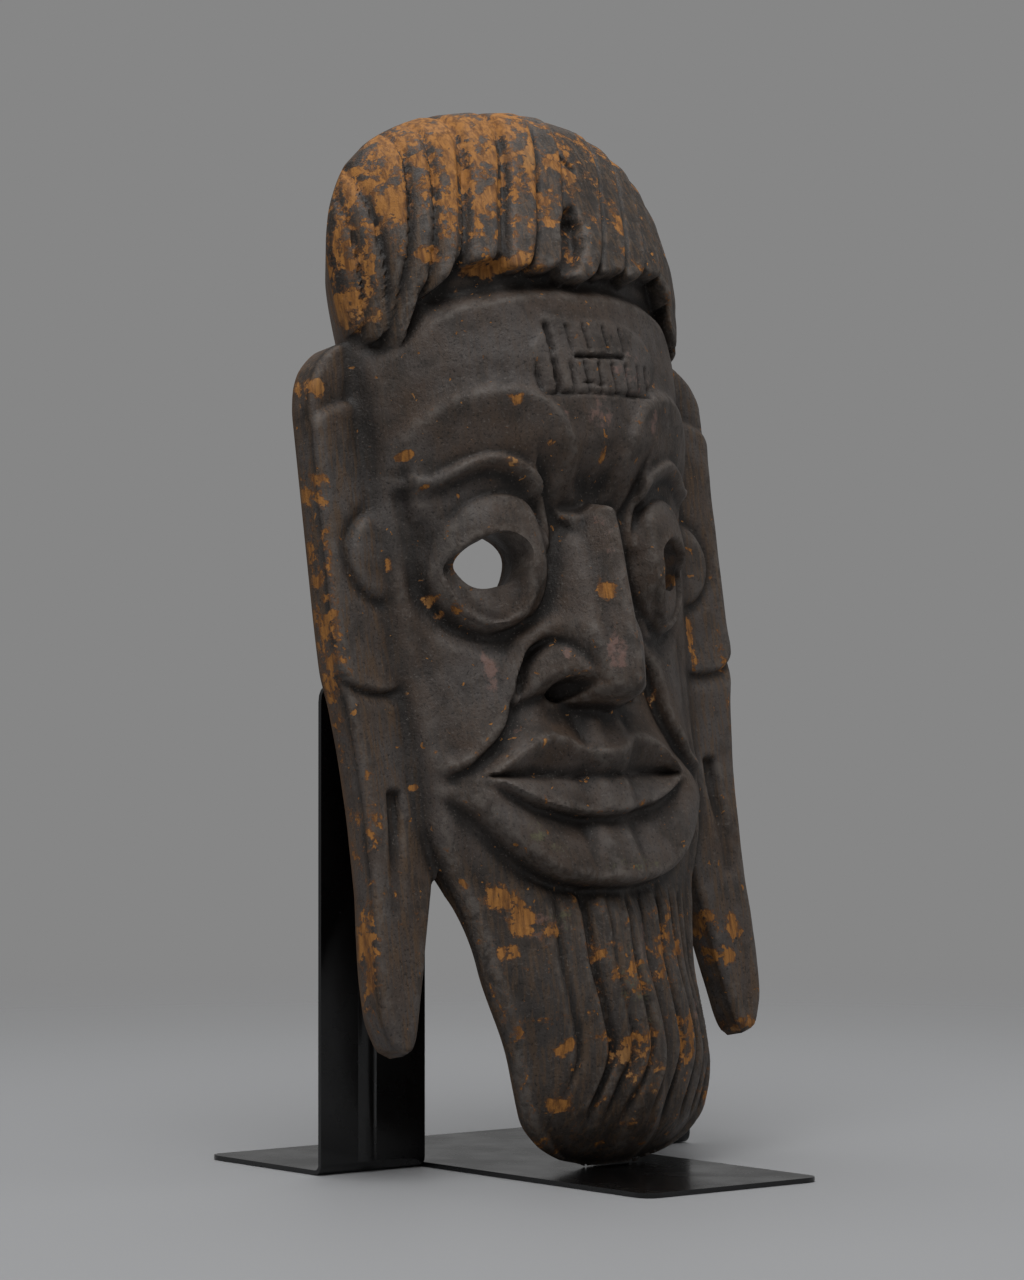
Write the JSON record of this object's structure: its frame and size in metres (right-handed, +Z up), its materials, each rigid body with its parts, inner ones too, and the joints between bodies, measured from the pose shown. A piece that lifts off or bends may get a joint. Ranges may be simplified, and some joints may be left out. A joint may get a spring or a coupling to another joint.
{
  "type": "tibetan cham mask",
  "caption": "Carved and painted wooden ritual mask with combed hair, long ear lobes and a flat beard, leaning on a bent black steel stand.",
  "frame": {"origin": "centre of the bounding box's bottom face, under the stand's flat base", "axes": "+Z up, the mask's face towards -Y, +X to the right seen from the front"},
  "size_m": [0.244, 0.253, 0.5052],
  "materials": {
    "mask_wood": "matte",
    "stand_steel": "satin"
  },
  "bodies": {
    "root": {"mask": "mask_wood", "stand": "stand_steel"}
  },
  "joints": []
}
